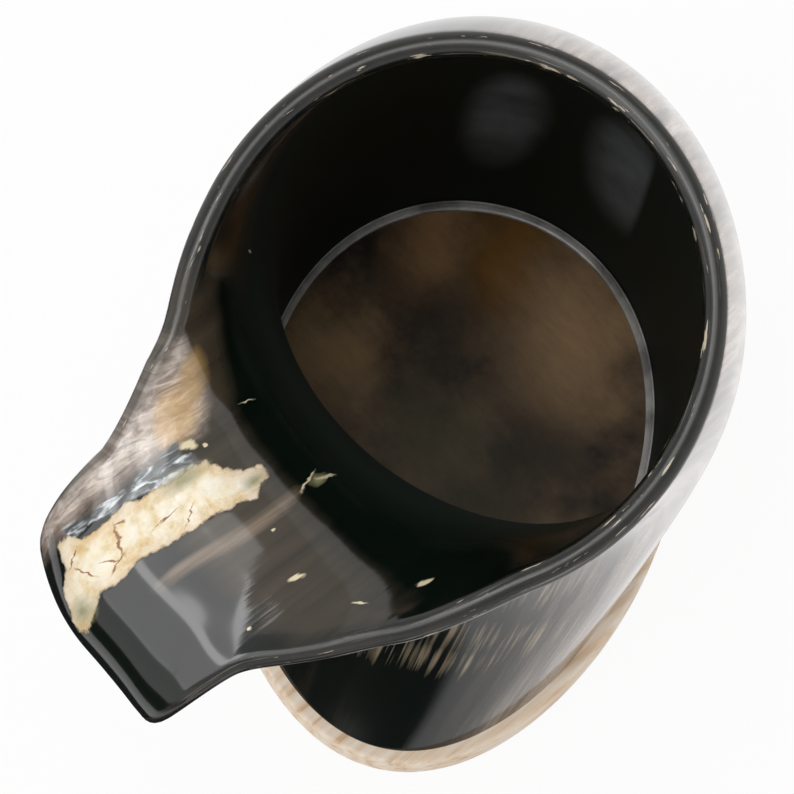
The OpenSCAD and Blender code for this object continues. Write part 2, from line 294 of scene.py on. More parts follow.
def buildHorn(material):  # outer grid, the same grid moved in by the wall, and a half-round lip along the free edge
    rows, columns, strips, wall = horn["cupRows"], len(cupAngles), horn["strapColumns"], horn["wall"]
    cupA, cupL = np.meshgrid(cupAngles, np.linspace(0, cupLength, rows + 1))
    d = strapLength * crowded(np.arange(1, horn["strapRows"] + 1) / horn["strapRows"], horn["strapCrowd"])
    strapA, strapL = strapAngle(d)[:, None] * strapSteps, np.repeat(cupLength + d[:, None], strips + 1, 1)
    a, l = np.concatenate([cupA.ravel(), strapA.ravel()]), np.concatenate([cupL.ravel(), strapL.ravel()])
    outer, normal = hornFace(a, l), faceNormal(a, l)
    inner = outer - wall * normal
    inner[:columns] = levelInner(outer[:columns], normal[:columns])

    # hand-worked, not flat: a slight wave near the handle, and the flaked place lies a little lower
    (waveFrom, waveFade), (waveSide, sideFade) = marks["waveUp"], marks["waveSide"]
    wave = marks["wave"] * ripples(marks["waves"], horn["dishRadius"] * a, l)
    wave = wave * ease((l - waveFrom) / waveFade) * ease((np.radians(waveSide) - abs(a)) / sideFade)
    # depth inside the flaked place and inside its band of painted shadow
    crust, bruise = depthInside(marks["crust"], a, l), depthInside(marks["bruise"], a, l)
    lumps = 0.5 + 0.25 * ripples(marks["lumps"], a, l)
    inner += (wave + marks["sink"] * fading(crust, marks["sinkEdge"]) * lumps)[:, None] * normal

    cupIds = np.arange((rows + 1) * columns).reshape(rows + 1, columns)
    strapIds = np.arange(cupIds.size, len(outer)).reshape(-1, strips + 1)
    ring = wrapped(cupIds)
    sides = np.concatenate([gridFaces(ring), gridFaces(np.concatenate([cupIds[-1:, :strips + 1], strapIds]))])
    rim = np.concatenate([cupIds[-1, strips:], cupIds[-1, :1]])
    edge = np.concatenate([rim, strapIds[:, 0], strapIds[-1, 1:], strapIds[-2::-1, -1]])
    middle = outer[edge] - normal[edge] * wall / 2
    over = unit(np.cross(normal[edge], np.roll(outer[edge], -1, 0) - np.roll(outer[edge], 1, 0)))
    lipSteps = np.linspace(0, 1, horn["lipRows"] + 2)[1:-1]
    turn = np.pi * lipSteps[:, None, None]
    lip = middle + (np.cos(turn) * normal[edge] + np.sin(turn) * over) * wall / 2
    count, lipCount = len(outer), lip[..., 0].size
    lipIds = 2 * count + np.arange(lipCount).reshape(lip.shape[:2])
    lipFaces = gridFaces(wrapped(np.concatenate([edge[None], lipIds, edge[None] + count])))
    cutFaces = gridFaces(np.stack([ring[0] + count, ring[0]]))
    faces = np.concatenate([sides, sides[:, ::-1] + count, lipFaces, cutFaces])
    points = np.concatenate([outer, inner, lip.reshape(-1, 3)])

    def onTop(values, far=0.0):  # a field of the inner and upper face; far is its value on the outer face
        return np.concatenate([np.full(count, far), values, np.tile(values[edge], len(lip))])

    def onOuter(values):  # a field of the outer face alone
        return np.concatenate([values, np.zeros(count + lipCount)])

    # grain is the horn unbent and made round, edgeRun the free edge wound into a round with the way over the lip, in mm
    places = np.stack([horn["dishRadius"] * np.cos(a), horn["dishRadius"] * np.sin(a), l], -1)
    run = np.cumsum(np.linalg.norm(middle - np.roll(middle, 1, 0), axis=-1))
    whole = run[-1] / (2 * np.pi)
    wound = whole * np.stack([np.cos(run / whole), np.sin(run / whole)], -1)
    overLip = np.repeat(lipSteps, len(edge))
    onEdge = np.concatenate([np.tile(wound, (len(lip), 1)), wall * overLip[:, None]], -1)
    first, fadeIn, final, fadeOut = marks["pale"]
    angle = np.degrees(a) % 360
    fields = dict(
        grain=np.concatenate([places, places, np.tile(places[edge], (len(lip), 1))]),
        edgeRun=np.concatenate([np.zeros((2 * count, 3)), onEdge]),
        depth=np.concatenate([np.zeros(count), np.ones(count), overLip]),
        onLip=np.concatenate([np.zeros(2 * count), np.ones(lipCount)]),
        crust=onTop(crust, marks["farOut"]), bruise=onTop(bruise, marks["farOut"]),
        rosy=onTop(fading(depthInside(marks["rosy"], a, l), marks["rosyEdge"])),
        veil=onTop(fading(depthInside(marks["veil"], a, l), marks["veilEdge"])),
        tan=onTop(tanStreak(a, l)), flecked=onOuter(fleckBands(a, l)),
        pale=onOuter(ease((angle - first) / fadeIn) * ease((final - angle) / fadeOut)))
    fields.update({name: onTop(softSpots(marks[name], a, l)) for name in ("amber", "smoke", "haze", "scuff")})
    makePiece("hornShell", points, faces.tolist(), "horn_body", material, fields)


def closedRows(rows, low, high):  # level rows from the lowest up, closed by a middle point at each end
    count, columns = rows.shape[:2]
    ids = wrapped(np.arange(count * columns).reshape(count, columns))
    under = np.stack([np.full(columns, count * columns), ids[0, 1:], ids[0, :-1]], -1)
    above = np.stack([np.full(columns, count * columns + 1), ids[-1, :-1], ids[-1, 1:]], -1)
    faces = gridFaces(ids).tolist() + under.tolist() + above.tolist()
    return np.concatenate([rows.reshape(-1, 3), [low, high]]), faces


def drawnIn(row, shares):  # copies of a level row, drawn towards the middle
    return row * (np.array(shares)[:, None, None] * [1, 1, 0] + [0, 0, 1])


# The wall's lowest few mm, outside and inside, which the foot, floor and bead follow.
lowWall = dict(columns=320, rise=7.5)
angles = np.linspace(-np.pi, np.pi, lowWall["columns"], endpoint=False)
footLine, riseLine = 0 * angles, 0 * angles + lowWall["rise"]
wallFoot, wallSlope = hornFace(angles, footLine), faceNormal(angles, footLine)
levelOut = unit(wallSlope * [1, 1, 0])
insideLow = levelInner(wallFoot, wallSlope)
insideHigh = hornFace(angles, riseLine) - horn["wall"] * faceNormal(angles, riseLine)


def insideOutline(z, gap):  # the cup's inside at a height, moved in
    t = ((z - insideLow[:, 2]) / (insideHigh[:, 2] - insideLow[:, 2]))[:, None]
    return insideLow + (insideHigh - insideLow) * t - gap * levelOut


# The foot: the horn's own outline, wider, with a rounded edge below and a smaller one above.
foot = dict(height=10, out=2.5, edge=2.0, topEdge=1.0, edgeRows=8, faceRows=(0.3, 0.65))


def buildFoot(material):  # the outline carried round both rounded edges, then drawn in on the level faces
    t = np.linspace(0, np.pi / 2, foot["edgeRows"])
    inset = np.concatenate([foot["edge"] * (1 - np.sin(t)), foot["topEdge"] * (1 - np.cos(t))])
    height = np.concatenate([foot["edge"] * (1 - np.cos(t)), foot["height"] - foot["topEdge"] * (1 - np.sin(t))])
    outwards = (foot["out"] - inset)[:, None, None] * levelOut
    sides = wallFoot * [1, 1, 0] + outwards + height[:, None, None] * [0, 0, 1]
    rows = np.concatenate([drawnIn(sides[0], foot["faceRows"]), sides, drawnIn(sides[-1], foot["faceRows"][::-1])])
    points, faces = closedRows(rows, (0, 0, 0), (0, 0, foot["height"]))
    makePiece("woodenFoot", points, faces, "wooden_foot", material)


# The floor inside the cup, and the bead that seals its edge.
floorPlate = dict(low=10, high=13.5, gap=0.15, edge=0.4, middle=(-1, 0), faceRows=(0.8, 0.55, 0.3))
bead = dict(size=1.3, edge=0.3, coveRows=14, sharp=30)


def buildFloor(material):  # the cup's inside at three heights, the last one cut back, then drawn in on the top face
    low, high, edge = floorPlate["low"], floorPlate["high"], floorPlate["edge"]
    levels = ((low, 0), (high - edge, 0), (high, edge))
    sides = np.stack([insideOutline(z, floorPlate["gap"] + inset) for z, inset in levels])
    rows = np.concatenate([sides, drawnIn(sides[-1], floorPlate["faceRows"])])
    points, faces = closedRows(rows, floorPlate["middle"] + (low,), floorPlate["middle"] + (high,))
    makePiece("floorPlate", points, faces, "floor_plate", material)


def buildBead(material):  # a hollow quarter round carried along the corner of floor and wall
    t = np.linspace(0, np.pi / 2, bead["coveRows"])
    cove = bead["size"] - bead["edge"]
    inward = np.concatenate([[bead["size"], 0, 0], bead["size"] - cove * np.cos(t)])
    up = np.concatenate([[0, 0, bead["size"]], bead["size"] - cove * np.sin(t)])
    rows = np.stack([insideOutline(floorPlate["high"] + u, floorPlate["gap"] + g) for u, g in zip(up, inward)])
    ids = np.arange(rows[..., 0].size).reshape(rows.shape[:2])
    faces = gridFaces(wrapped(np.concatenate([ids, ids[:1]]))).tolist()
    makePiece("sealingBead", rows.reshape(-1, 3), faces, "sealing_bead", material, sharp=bead["sharp"])


# Cattle horn, scraped, bent in heat and polished: black-brown keratin under a clear gloss, fibres along its growth,
# cream where the layers have flaked and lifted. Sizes in mm on the unbent sheet.
hornFinish = dict(
    dark="#0a110d", brown="#11160f", scraped="#0b1d15", ridge="#28211a", smoke="#51473a", haze="#8d7d72",
    rosyDark="#5f5249", rosyMid="#998a7f", rosyPale="#d5c8bd", amber="#cfa768", tan="#a08d7a",
    # painted shadow beside the flaked place, dark to mid grey, with pale flakes
    shadowBandDark="#1b1f20", shadowBandMid="#5b6163", shadowBandFlakes="#d9dddf",
    creamEdge="#c79f64", creamDeep="#d8bf8c", cream="#e9dcbf", creamWhite="#efe7d6",
    moss="#9a9570", crack="#93633a", chip="#dccfac", scuff="#8d9294",
    paleDark="#3a332d", paleDeep="#786a61", palePink="#b39d8e", paleWhite="#e2d8ce",
    fleck="#a3927b", veil="#3c352d", lip="#231f1a", scratch="#6d675e", rimChip="#b9ac98",
    fibreWidth=4.8, fineWidth=1.2, fibreStretch=20, wispWidth=1.4286, wispStretch=3.3333,
    flowWidth=8.3333, flowStretch=7.6923, strokeWidth=0.8333, strokeLength=20, raggedSize=3.125, driftSize=11.111,
    ridgeCut=(0.5, 0.68), strokeCut=(0.4, 0.74), streakCut=(0.3, 0.6),  # where a pattern begins to show and is full
    scrapedRun=(122, 100), frontRun=(5, 15),  # where the scraped inside and the handle's half begin and are full
    raggedEdge=1.5, edgeBlur=0.2, goldenEdge=2.2, shake=1.6,
    roughness=0.11, insideRoughness=0.62, lipRoughness=0.26, crustRoughness=0.34, ior=1.54,
    rippleHeight=0.15, crustHeight=0.6,
    # ovals on the sheet: side, along, half length, half width, turn
    flecks=[(14.0, 133.0, 1.1, 0.42, 24), (29.7, 127.0, 0.8, 0.6, 40), (2.2, 120.7, 2.6, 0.2, -16),
            (3.4, 116.6, 2.6, 0.3, 14), (-14.2, 122.0, 2.0, 0.13, 12), (-31.5, 104.0, 1.3, 0.2, 4),
            (-12.4, 131.9, 0.35, 0.3, 0), (5.6, 131.0, 0.3, 0.25, 0), (16.2, 142.4, 0.3, 0.2, 0),
            (24.5, 131.7, 1.0, 0.2, 70), (-13.6, 134.2, 1.3, 0.6, 30)],
    cracks=[(-7.2, 149.3, 0.2, 2.3, 4), (-5.4, 151.2, 1.3, 0.14, 38), (-4.4, 150.6, 1.5, 0.14, -30),
            (-5.6, 141.6, 2.6, 0.1, -6), (-4.0, 138.2, 2.0, 0.1, -38), (-6.6, 154.6, 1.8, 0.12, 55),
            (-9.4, 155.3, 1.3, 0.12, -40), (-9.3, 148.6, 0.9, 0.14, 20)],
    mossSpots=[(-9.4, 136.6, 2.8, 1.1, 0), (-3.1, 128.1, 1.6, 0.9, 0), (-3.0, 157.6, 1.7, 1.3, 20),
               (3.0, 118.6, 1.6, 0.7, 0)],
    ovals=[("mossSpots", "moss", 0.8), ("cracks", "crack", 0.3), ("flecks", "chip", 0.3)],  # colour, blur of the edge
    # on the rim: length, width, where the pattern begins to show and is full, colour
    rimMarks=[(16.667, 0.3125, 0.6, 0.72, "scratch"), (6.25, 0.5, 0.645, 0.69, "rimChip")])


def makeHorn():
    material, tree, shader = newMaterial("polishedCattleHorn")
    f = hornFinish
    names = ("depth", "onLip", "crust", "bruise", "rosy", "veil", "amber", "tan", "smoke", "haze", "scuff", "flecked",
             "pale")
    marked = {name: addNode(tree, "Attribute", dict(attribute_name=name)) for name in names}
    grain = addNode(tree, "Attribute", dict(attribute_name="grain"))
    along = addNode(tree, "Mapping", {"Scale": (1, 1, 1 / f["fibreStretch"])}, {"Vector": (grain, "Vector")})
    fibres = addNode(tree, "TexNoise", {"Scale": 1 / f["fibreWidth"], "Detail": 6.0, "Roughness": 0.62},
                     {"Vector": (along, 0)})
    fine = addNode(tree, "TexNoise", {"Scale": 1 / f["fineWidth"], "Detail": 4.0, "Roughness": 0.55},
                   {"Vector": (along, 0)})
    ragged = addNode(tree, "TexNoise", {"Scale": 1 / f["raggedSize"], "Detail": 5.0, "Roughness": 0.6},
                     {"Vector": (grain, "Vector")})
    wispSpace = addNode(tree, "Mapping", {"Scale": (1, 1, 1 / f["wispStretch"])}, {"Vector": (grain, "Vector")})
    wisps = addNode(tree, "TexNoise", {
        "Scale": 1 / f["wispWidth"], "Detail": 4.0, "Roughness": 0.55, "Distortion": 1.2}, {"Vector": (wispSpace, 0)})
    streaked = addNode(tree, "MapRange", {"From Min": f["streakCut"][0], "From Max": f["streakCut"][1]},
                       {"Value": (fibres, 0)})
    drift = addNode(tree, "TexNoise", {"Scale": 1 / f["driftSize"], "Detail": 3.0, "Roughness": 0.5},
                    {"Vector": (grain, "Vector")})
    sheet = addNode(tree, "SeparateXYZ", {}, {0: (grain, "Vector")})
    inside = addNode(tree, "MapRange", {"From Min": f["scrapedRun"][0], "From Max": f["scrapedRun"][1]},
                     {"Value": (sheet, 2)})  # scraped, less polished
    inside = addNode(tree, "Math", dict(operation="MULTIPLY"), {0: (inside, 0), 1: (marked["depth"], "Fac")})
    base = addNode(tree, "ValToRGB", dict(stops=[(0.42, f["dark"]), (0.72, f["brown"])]), {0: (fibres, 0)})
    base = addNode(tree, "Mix", {"data_type": "RGBA", 7: f["scraped"]}, {0: (inside, 0), 6: (base, 0)})

    # the outer face: faint brown ridges, long pale streaks at the back, fine strokes in bands near the foot
    flowSpace = addNode(tree, "Mapping", {"Scale": (1, 1, 1 / f["flowStretch"])}, {"Vector": (grain, "Vector")})
    flow = addNode(tree, "TexNoise", {
        "Scale": 1 / f["flowWidth"], "Detail": 6.0, "Roughness": 0.6, "Distortion": 0.6}, {"Vector": (flowSpace, 0)})
    blend = addNode(tree, "Mix", {0: 0.4}, {2: (fibres, 0), 3: (fine, 0)})
    flowing = addNode(tree, "Mix", {0: 0.5}, {2: (flow, 0), 3: (blend, 0)})
    outside = addNode(tree, "MapRange", {"From Min": 1.0, "From Max": 0.0}, {"Value": (marked["depth"], "Fac")})
    ridges = addNode(tree, "MapRange", {"From Min": f["ridgeCut"][0], "From Max": f["ridgeCut"][1]},
                     {"Value": (flowing, 0)})
    ridges = addNode(tree, "Math", dict(operation="MULTIPLY"), {0: (ridges, 0), 1: (outside, 0)})
    last = (addNode(tree, "Mix", {"data_type": "RGBA", 7: f["ridge"]}, {0: (ridges, 0), 6: (base, 2)}), 2)
    paleStops = [(0.38, f["paleDark"]), (0.46, f["paleDeep"]), (0.53, f["palePink"]), (0.62, f["paleWhite"])]
    paleShade = addNode(tree, "ValToRGB", dict(stops=paleStops), {0: (flowing, 0)})
    last = (addNode(tree, "Mix", {"data_type": "RGBA"}, {0: (marked["pale"], "Fac"), 6: last, 7: (paleShade, 0)}), 2)
    strokeScale = (1 / f["strokeWidth"], 1 / f["strokeWidth"], 1 / f["strokeLength"])
    strokeSpace = addNode(tree, "Mapping", {"Scale": strokeScale}, {"Vector": (grain, "Vector")})
    strokes = addNode(tree, "TexNoise", {"Scale": 1.0, "Detail": 2.0, "Roughness": 0.5}, {"Vector": (strokeSpace, 0)})
    strokes = addNode(tree, "MapRange", {"From Min": f["strokeCut"][0], "From Max": f["strokeCut"][1]},
                      {"Value": (strokes, 0)})

    # each layer: a field times a pattern, from where it begins to show to where it is full, and its colour
    swirl = addNode(tree, "Mix", {0: 0.5}, {2: (wisps, 0), 3: (fibres, 0)})
    rosyStops = [(0.36, f["rosyDark"]), (0.48, f["rosyMid"]), (0.6, f["rosyPale"])]
    rosyShade = addNode(tree, "ValToRGB", dict(stops=rosyStops), {0: (swirl, 0)})
    layers = [("smoke", fibres, 0.12, 0.75, "smoke"), ("haze", fibres, 0.12, 0.75, "haze"),
              ("flecked", strokes, 0.22, 1.05, "fleck"), ("scuff", drift, 0.02, 0.7, "scuff"),
              ("veil", drift, 0.1, 0.7, "veil"), ("rosy", ragged, 0.05, 0.5, rosyShade),
              ("amber", fibres, 0.06, 0.95, "amber"), ("tan", streaked, 0.15, 1.0, "tan"),
              ("onLip", fibres, 0.3, 0.8, "lip")]
    for name, pattern, low, high, colour in layers:
        share = addNode(tree, "Math", dict(operation="MULTIPLY"), {0: (pattern, 0), 1: (marked[name], "Fac")})
        share = addNode(tree, "MapRange", {"From Min": low, "From Max": high}, {"Value": (share, 0)})
        plain = {7: f[colour]} if isinstance(colour, str) else {}
        drawn = {} if isinstance(colour, str) else {7: (colour, 0)}
        last = (addNode(tree, "Mix", {"data_type": "RGBA", **plain}, {0: (share, 0), 6: last, **drawn}), 2)

    # the painted shadow beside the flaked place, with pale flakes through it, and the flaked place: an outline moved in
    # and out by a ragged pattern
    shadowBandStops = [(0.4, f["shadowBandDark"]), (0.52, f["shadowBandMid"]), (0.66, f["shadowBandFlakes"])]
    shadowBandRamp = addNode(tree, "ValToRGB", dict(stops=shadowBandStops), {0: (wisps, 0)})
    creamStops = [(0.34, f["creamDeep"]), (0.47, f["cream"]), (0.6, f["creamWhite"])]
    creamShade = addNode(tree, "ValToRGB", dict(stops=creamStops), {0: (ragged, 0)})
    edgeAt, blur = f["raggedEdge"], f["edgeBlur"]
    for name, shade in (("bruise", shadowBandRamp), ("crust", creamShade)):
        wander = addNode(tree, "Math", {"operation": "MULTIPLY_ADD", 1: 2 * edgeAt},
                         {0: (ragged, 0), 2: (marked[name], "Fac")})
        crusted = addNode(tree, "MapRange", {"From Min": edgeAt - blur, "From Max": edgeAt + blur},
                          {"Value": (wander, 0)})
        last = (addNode(tree, "Mix", {"data_type": "RGBA"}, {0: (crusted, 0), 6: last, 7: (shade, 0)}), 2)

    # the loop ends on the flaked place, which has a golden edge
    golden = addNode(tree, "MapRange", {"From Min": edgeAt + f["goldenEdge"], "From Max": edgeAt},
                     {"Value": (wander, 0)})
    golden = addNode(tree, "Math", dict(operation="MULTIPLY"), {0: (golden, 0), 1: (crusted, 0)})
    golden = addNode(tree, "Math", dict(operation="MULTIPLY"), {0: (golden, 0), 1: (wisps, 0)})
    last = (addNode(tree, "Mix", {"data_type": "RGBA", 7: f["creamEdge"]}, {0: (golden, 0), 6: last}), 2)

    # moss, cracks and chips on the handle's half: each oval is its own small space, its edge 1 from the middle
    front = addNode(tree, "MapRange", {"From Min": f["frontRun"][0], "From Max": f["frontRun"][1]},
                    {"Value": (sheet, 0)})
    front = addNode(tree, "Math", dict(operation="MULTIPLY"), {0: (front, 0), 1: (marked["depth"], "Fac")})
    shaken = addNode(tree, "VectorMath", {"operation": "SCALE", "Scale": f["shake"]}, {0: (wisps, "Color")})
    shaken = addNode(tree, "VectorMath", {"operation": "ADD"}, {0: (grain, "Vector"), 1: (shaken, 0)})
    for name, colour, blur in f["ovals"]:
        nearest = None
        for side, length, long, wide, turn in f[name]:
            space = addNode(tree, "Mapping", {
                "vector_type": "TEXTURE", "Location": (0, side + f["shake"] / 2, length + f["shake"] / 2),
                "Rotation": (np.radians(turn), 0, 0), "Scale": (endless, wide, long)}, {"Vector": (shaken, 0)})
            reach = addNode(tree, "VectorMath", {"operation": "LENGTH"}, {0: (space, 0)})
            if nearest is not None:
                reach = addNode(tree, "Math", dict(operation="MINIMUM"), {0: (nearest, "Value"), 1: (reach, "Value")})
            nearest = reach
        share = addNode(tree, "MapRange", {"From Min": 1 + blur, "From Max": 1 - blur}, {"Value": (nearest, "Value")})
        share = addNode(tree, "Math", dict(operation="MULTIPLY"), {0: (share, 0), 1: (front, 0)})
        last = (addNode(tree, "Mix", {"data_type": "RGBA", 7: f[colour]}, {0: (share, 0), 6: last}), 2)

    # the rim: fine scratches along it and small pale chips
    edge = addNode(tree, "Attribute", dict(attribute_name="edgeRun"))
    for length, width, low, high, colour in f["rimMarks"]:
        space = addNode(tree, "Mapping", {"Scale": (1 / length, 1 / length, 1 / width)}, {"Vector": (edge, "Vector")})
        noise = addNode(tree, "TexNoise", {"Scale": 1.0, "Detail": 3.0, "Roughness": 0.6}, {"Vector": (space, 0)})
        share = addNode(tree, "MapRange", {"From Min": low, "From Max": high}, {"Value": (noise, 0)})
        share = addNode(tree, "Math", dict(operation="MULTIPLY"), {0: (share, 0), 1: (marked["onLip"], "Fac")})
        last = (addNode(tree, "Mix", {"data_type": "RGBA", 7: f[colour]}, {0: (share, 0), 6: last}), 2)

    tree.links.new(last[0].outputs[2], shader.inputs["Base Color"])
    roughness = addNode(tree, "MapRange", {"To Min": f["roughness"], "To Max": f["insideRoughness"]},
                        {"Value": (inside, 0)})
    roughness = addNode(tree, "Mix", {3: f["lipRoughness"]}, {0: (marked["onLip"], "Fac"), 2: (roughness, 0)})
    roughness = addNode(tree, "Mix", {3: f["crustRoughness"]}, {0: (crusted, 0), 2: (roughness, 0)})
    tree.links.new(roughness.outputs[0], shader.inputs["Roughness"])
    shader.inputs["IOR"].default_value = f["ior"]
    ripple = addNode(tree, "Bump", {"Strength": 0.3, "Distance": 0.001 * f["rippleHeight"]}, {"Height": (fibres, 0)})
    lumps = addNode(tree, "Math", dict(operation="MULTIPLY"), {0: (ragged, 0), 1: (crusted, 0)})
    lumps = addNode(tree, "Bump", {"Strength": 0.6, "Distance": 0.001 * f["crustHeight"]},
                    {"Height": (lumps, 0), "Normal": (ripple, 0)})
    tree.links.new(lumps.outputs[0], shader.inputs["Normal"])
    return material


# Beech or birch, sawn and sanded: pale tan with short darker flecks along the grain, no gloss to speak of. Sizes in mm.
paleWood = dict(
    pale="#fbeddb", tan="#f2dabf", fleck="#d9b48e", grainWidth=1.3, grainLength=40, grainTurn=0.6, grainHeight=0.2,
    ring=3.2, ringStretch=(0.2, 1, 0.4), ringShare=0.15, roughness=0.6, ior=1.45)


def makePaleWood():
    material, tree, shader = newMaterial("sandedPaleWood")
    f = paleWood
    place = addNode(tree, "TexCoord")
    turn, across = (0, 0, f["grainTurn"]), 1000 / f["grainWidth"]
    along = addNode(tree, "Mapping", {"Rotation": turn, "Scale": (1000 / f["grainLength"], across, across)},
                    {"Vector": (place, "Object")})
    grain = addNode(tree, "TexNoise", {"Scale": 1.0, "Detail": 5.0, "Roughness": 0.6}, {"Vector": (along, 0)})
    turned = addNode(tree, "Mapping", {"Rotation": turn, "Scale": tuple(1000 * s for s in f["ringStretch"])},
                     {"Vector": (place, "Object")})
    rings = addNode(tree, "TexWave", {"bands_direction": "Y", "Scale": 0.314 / f["ring"],  # a band is 0.314 at scale 1
                                      "Distortion": 6.0, "Detail": 3.0, "Detail Scale": 0.8}, {"Vector": (turned, 0)})
    mixed = addNode(tree, "Mix", {0: f["ringShare"]}, {2: (grain, 0), 3: (rings, "Fac")})
    stops = [(0.3, f["fleck"]), (0.45, f["tan"]), (0.62, f["pale"])]
    shade = addNode(tree, "ValToRGB", dict(stops=stops), {0: (mixed, 0)})
    tree.links.new(shade.outputs[0], shader.inputs["Base Color"])
    shader.inputs["Roughness"].default_value, shader.inputs["IOR"].default_value = f["roughness"], f["ior"]
    bump = addNode(tree, "Bump", {"Strength": 0.3, "Distance": 0.001 * f["grainHeight"]}, {"Height": (grain, 0)})
    tree.links.new(bump.outputs[0], shader.inputs["Normal"])
    return material


# Wood stained brown and varnished: warm clouds from near black to amber, half dull. Sizes in mm.
darkWood = dict(
    dark="#2c231b", brown="#5f4d39", pale="#7d664a", speckWidth=1.2, speckLength=4, speckTurn=0.9,
    speckTone=(0.88, 1.1), cloudSize=26, cloudDrift=16, cloudEdge=(1.3, 0.1), cloudShare=0.8, roughness=0.55, ior=1.33,
    # a cloud: x, y, reach both ways, turn, colour
    clouds=[(-37, -22, 16, 9, 30, "#8f6217"), (-15, -22, 9, 20, -35, "#1f1914"),
            (-36, -4, 21, 14, 40, "#bf9a70"), (-14, 12, 9, 14, 20, "#332b1e"), (-2, -4, 14, 16, 0, "#5c533a"),
            (1, -30, 13, 12, 0, "#a9895e"), (2, 12, 14, 9, 0, "#3f3a28"), (-27, -33, 15, 9, 40, "#b98c60")])


def makeDarkWood():
    material, tree, shader = newMaterial("stainedVarnishedWood")
    f = darkWood
    place = addNode(tree, "TexCoord")
    inMm = addNode(tree, "VectorMath", {"operation": "SCALE", "Scale": 1000.0}, {0: (place, "Object")})
    drift = addNode(tree, "TexNoise", {"Scale": 2.2 / f["cloudSize"], "Detail": 5.0, "Roughness": 0.6},
                    {"Vector": (inMm, 0)})
    speckScale = (1 / f["speckWidth"], 1 / f["speckLength"], 1)
    speckSpace = addNode(tree, "Mapping", {"Rotation": (0, 0, f["speckTurn"]), "Scale": speckScale},
                         {"Vector": (inMm, 0)})
    specks = addNode(tree, "TexNoise", {"Scale": 1.0, "Detail": 4.0, "Roughness": 0.65}, {"Vector": (speckSpace, 0)})
    stops = [(0.36, f["dark"]), (0.55, f["brown"]), (0.72, f["pale"])]
    last = (addNode(tree, "ValToRGB", dict(stops=stops), {0: (drift, 0)}), 0)
    blown = addNode(tree, "VectorMath", {"operation": "SCALE", "Scale": f["cloudDrift"]}, {0: (drift, "Color")})
    blown = addNode(tree, "VectorMath", {"operation": "ADD"}, {0: (inMm, 0), 1: (blown, 0)})
    half = f["cloudDrift"] / 2
    for x, y, wide, long, turn, colour in f["clouds"]:
        space = addNode(tree, "Mapping", {
            "vector_type": "TEXTURE", "Location": (x + half, y + half, 0), "Rotation": (0, 0, np.radians(turn)),
            "Scale": (wide, long, endless)}, {"Vector": (blown, 0)})
        reach = addNode(tree, "VectorMath", {"operation": "LENGTH"}, {0: (space, 0)})
        share = addNode(tree, "MapRange", {
            "interpolation_type": "SMOOTHSTEP", "From Min": f["cloudEdge"][0], "From Max": f["cloudEdge"][1],
            "To Max": f["cloudShare"]}, {"Value": (reach, "Value")})
        last = (addNode(tree, "Mix", {"data_type": "RGBA", 7: colour}, {0: (share, 0), 6: last}), 2)
    low, high = f["speckTone"]
    tone = addNode(tree, "MapRange", {"From Min": 0.3, "From Max": 0.7, "To Min": low, "To Max": high},
                   {"Value": (specks, 0)})
    toned = addNode(tree, "Mix", {"data_type": "RGBA", "blend_type": "MULTIPLY", 0: 1.0}, {6: last, 7: (tone, 0)})
    tree.links.new(toned.outputs[2], shader.inputs["Base Color"])
    shader.inputs["Roughness"].default_value, shader.inputs["IOR"].default_value = f["roughness"], f["ior"]
    return material


# Clear resin run in and left to set: a thin grey thread with a wet shine, its pale grey partly a painted highlight
# along the bead. Sizes in mm.
resin = dict(pale="#d6d4d0", dull="#8f8d89", lump=7.0, lumpHeight=0.3, roughness=0.12, ior=1.5)


def makeResin():
    material, tree, shader = newMaterial("setClearResin")
    f = resin
    place = addNode(tree, "TexCoord")
    lumps = addNode(tree, "TexNoise", {"Scale": 1000 / f["lump"], "Detail": 3.0}, {"Vector": (place, "Object")})
    # the pale end of this ramp is partly painted highlight
    shade = addNode(tree, "ValToRGB", dict(stops=[(0.35, f["dull"]), (0.65, f["pale"])]), {0: (lumps, 0)})
    tree.links.new(shade.outputs[0], shader.inputs["Base Color"])
    shader.inputs["Roughness"].default_value, shader.inputs["IOR"].default_value = f["roughness"], f["ior"]
    bump = addNode(tree, "Bump", {"Strength": 0.4, "Distance": 0.001 * f["lumpHeight"]}, {"Height": (lumps, 0)})
    tree.links.new(bump.outputs[0], shader.inputs["Normal"])
    return material


buildHorn(makeHorn())
buildFoot(makePaleWood())
buildFloor(makeDarkWood())
buildBead(makeResin())

# The photograph's camera: high over the mug, the handle towards the lower left. Place in m, directions as vectors.
camera = dict(
    place=(0.1430, 0.1209, 0.8199), view=(-0.1745, -0.1634, -0.971), right=(-0.7519, 0.6585, 0.0244),
    lens=207.7, sensor=36, near=0.05, far=20)


def addCamera():
    data = bpy.data.cameras.new("camera")
    data.sensor_width, data.lens = camera["sensor"], camera["lens"]
    data.clip_start, data.clip_end = camera["near"], camera["far"]
    eye = bpy.data.objects.new("camera", data)
    back = -unit(np.array(camera["view"]))
    side = unit(np.array(camera["right"]) - back * np.dot(camera["right"], back))
    eye.matrix_world = placed(side, back, camera["place"])
    scene.collection.objects.link(eye)
    scene.camera = eye


# Studio: a white table inside a white round wall, a dim ceiling, and one wide soft box from overhead to the handle's
# side. Places and sizes in m; white is how much of its own white the table and wall show to the eye and in gloss.
studio = dict(
    tableSize=6, wallRadius=2.6, wallHeight=1.7, wallColumns=96,
    colour="#f2f2f2", roughness=0.9, white=0.92, ceiling=0.66,
    boxes=[("overhead", (0.43, -0.14, 1.22), (0.0, -0.14, 0.1), 2.1, 0.68, 9),  # place, aim, width, height, watts
           ("glare", (0.09, -0.17, 1.0), (0.06, 0.0, 0.14), 0.16, 0.3, 0.6)],
    # dark cards on the table past the handle, only for its gloss, with a soft, uneven edge
    cards=[((0.058, -0.3), (0.18, 0.2)), ((0.29, -0.7), (1.5, 0.7))],
    cardHeight=0.0003, cardColour="#0c0c0c", cardWave=0.04, cardSway=0.05, cardEdge=(0.025, 0.045))


